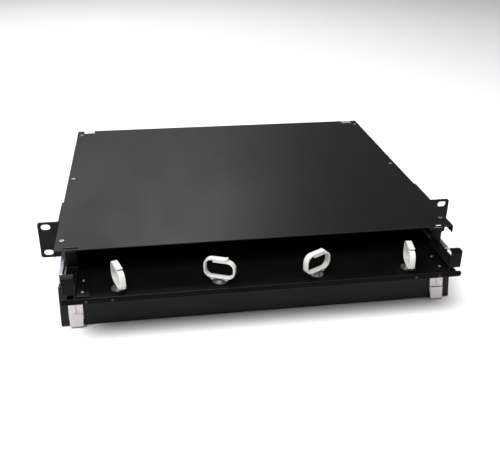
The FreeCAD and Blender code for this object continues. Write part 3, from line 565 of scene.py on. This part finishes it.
def dome_outline():
    """Radius and height of a base: rounded rim, dome, and the socket in its top."""
    ball = (DOME_RADIUS ** 2 + DOME_HEIGHT ** 2) / (2 * DOME_HEIGHT)
    crown = FLOOR_TOP + DOME_HEIGHT
    under = FLOOR_TOP + BASE_GAP
    rim = under + RIM_HEIGHT
    socket = STEM_RADIUS + SOCKET_GAP
    inner, outer = socket + SOCKET_LIP, DOME_RADIUS - DOME_END
    points = [(0, rim), (socket, rim), (socket, crown - SOCKET_DROP)]
    steps = 11
    for step in range(steps + 1):
        radius = inner + (outer - inner) * step / steps
        points.append((radius, crown - ball + math.sqrt(ball ** 2 - radius ** 2)))
    points += [(BASE_RADIUS - RIM_ACROSS, rim), (BASE_RADIUS, rim - RIM_DOWN)]
    points += [(BASE_RADIUS, under + BASE_EDGE), (BASE_RADIUS - BASE_EDGE, under), (0, under)]
    return points


def ring_bases():
    """The four clear bases, as one piece like their node."""
    bm = bmesh.new()
    for number in range(1, len(RING_YAW) + 1):
        place_at = joint_place("ring_%d_swivel" % number)
        lathe(bm, dome_outline(), place_at)
    bmesh.ops.recalc_face_normals(bm, faces=bm.faces)
    finish_piece(new_piece("ring_bases", bm), "ring_bases")


for ring_number in range(1, len(RING_YAW) + 1):
    cord_ring(ring_number)
ring_bases()


# ---- floor, light and camera --------------------------------------------------------------------
FLOOR_GAP = 0.8 * MM           # between the floor and the lowest edge of the hanging door
FLOOR_HALF = 6.0
WORLD_STRENGTH = 0.2
# Each soft box: place, the point that it faces, width and height, watts, colour.
SOFT_BOXES = {
    "softbox_top": ((-0.45, -0.62, 1.9), (-0.1, 0.0, 0.0), (1.8, 1.5), 76.0, (1, 1, 1)),
    "softbox_behind": ((-0.35, 2.0, 1.32), (-0.1, 0.1, 0.0), (1.5, 0.6), 14.0, (1, 1, 1)),
    "softbox_left": ((-1.6, -0.9, 0.9), (0.0, 0.0, 0.0), (1.2, 1.2), 3.0, (0.96, 0.98, 1.0)),
}
CAMERA_PLACE = (-0.11556, -0.70320, 0.36138)
CAMERA_YAW = math.radians(9.17)          # from straight ahead towards +X
CAMERA_PITCH = math.radians(26.67)       # downwards
CAMERA_ROLL = math.radians(0.637)
CAMERA_LENS = 49.11                      # mm, on a sensor of the width below
CAMERA_SENSOR = 36.0
NEAREST_SEEN = 0.01


def add_floor():
    """A wide pale floor just under the object."""
    low = CAD_BOX[0][2] - FLOOR_GAP
    bm = bmesh.new()
    bmesh.ops.create_grid(bm, x_segments=8, y_segments=8, size=FLOOR_HALF)
    mesh = bpy.data.meshes.new("floor")
    bm.to_mesh(mesh)
    bm.free()
    floor = bpy.data.objects.new("floor", mesh)
    floor.location = (0, 0, low)
    bpy.context.scene.collection.objects.link(floor)
    paper = surface("floor_paper", {"Roughness": 0.9, "Specular IOR Level": 0.1})
    mesh.materials.append(paper)
    tone = blend_colours(paper, noise(paper, 3.0), (0.90, 0.90, 0.90), (0.91, 0.91, 0.91))
    drive(paper, "Base Color", tone)


def add_area_light(name, place_at, aim, size, power, colour):
    """A soft box that faces a point."""
    light = bpy.data.lights.new(name, "AREA")
    light.shape = "RECTANGLE"
    light.size, light.size_y = size
    light.energy = power
    light.color = colour
    lamp = bpy.data.objects.new(name, light)
    lamp.location = place_at
    lamp.rotation_euler = (Vector(aim) - Vector(place_at)).to_track_quat("-Z", "Y").to_euler()
    bpy.context.scene.collection.objects.link(lamp)


def add_lights():
    """The soft boxes, a little light from all round, and plain colours."""
    world = bpy.data.worlds.new("studio")
    bpy.context.scene.world = world
    world.use_nodes = True
    background = world.node_tree.nodes["Background"]
    background.inputs["Color"].default_value = (1.0, 1.0, 1.0, 1)
    background.inputs["Strength"].default_value = WORLD_STRENGTH
    for name, settings in SOFT_BOXES.items():
        add_area_light(name, *settings)
    bpy.context.scene.view_settings.view_transform = "Standard"
    bpy.context.scene.view_settings.look = "None"


def add_camera():
    """A view from the front left and above: turned right, tipped down, and rolled a little."""
    eye = Vector(CAMERA_PLACE)
    ahead = Vector((math.sin(CAMERA_YAW), math.cos(CAMERA_YAW), 0))
    right = Vector((math.cos(CAMERA_YAW), -math.sin(CAMERA_YAW), 0))
    up = Vector((0, 0, 1))
    look = math.cos(CAMERA_PITCH) * ahead - math.sin(CAMERA_PITCH) * up
    lift = math.sin(CAMERA_PITCH) * ahead + math.cos(CAMERA_PITCH) * up
    side = math.cos(CAMERA_ROLL) * right + math.sin(CAMERA_ROLL) * lift
    top = -math.sin(CAMERA_ROLL) * right + math.cos(CAMERA_ROLL) * lift
    data = bpy.data.cameras.new("camera")
    data.lens = CAMERA_LENS
    data.sensor_width = CAMERA_SENSOR
    data.clip_start = NEAREST_SEEN
    camera = bpy.data.objects.new("camera", data)
    camera.matrix_world = Matrix((
        (side.x, top.x, -look.x, eye.x),
        (side.y, top.y, -look.y, eye.y),
        (side.z, top.z, -look.z, eye.z),
        (0, 0, 0, 1)))
    bpy.context.scene.collection.objects.link(camera)
    bpy.context.scene.camera = camera


add_floor()
add_lights()
add_camera()
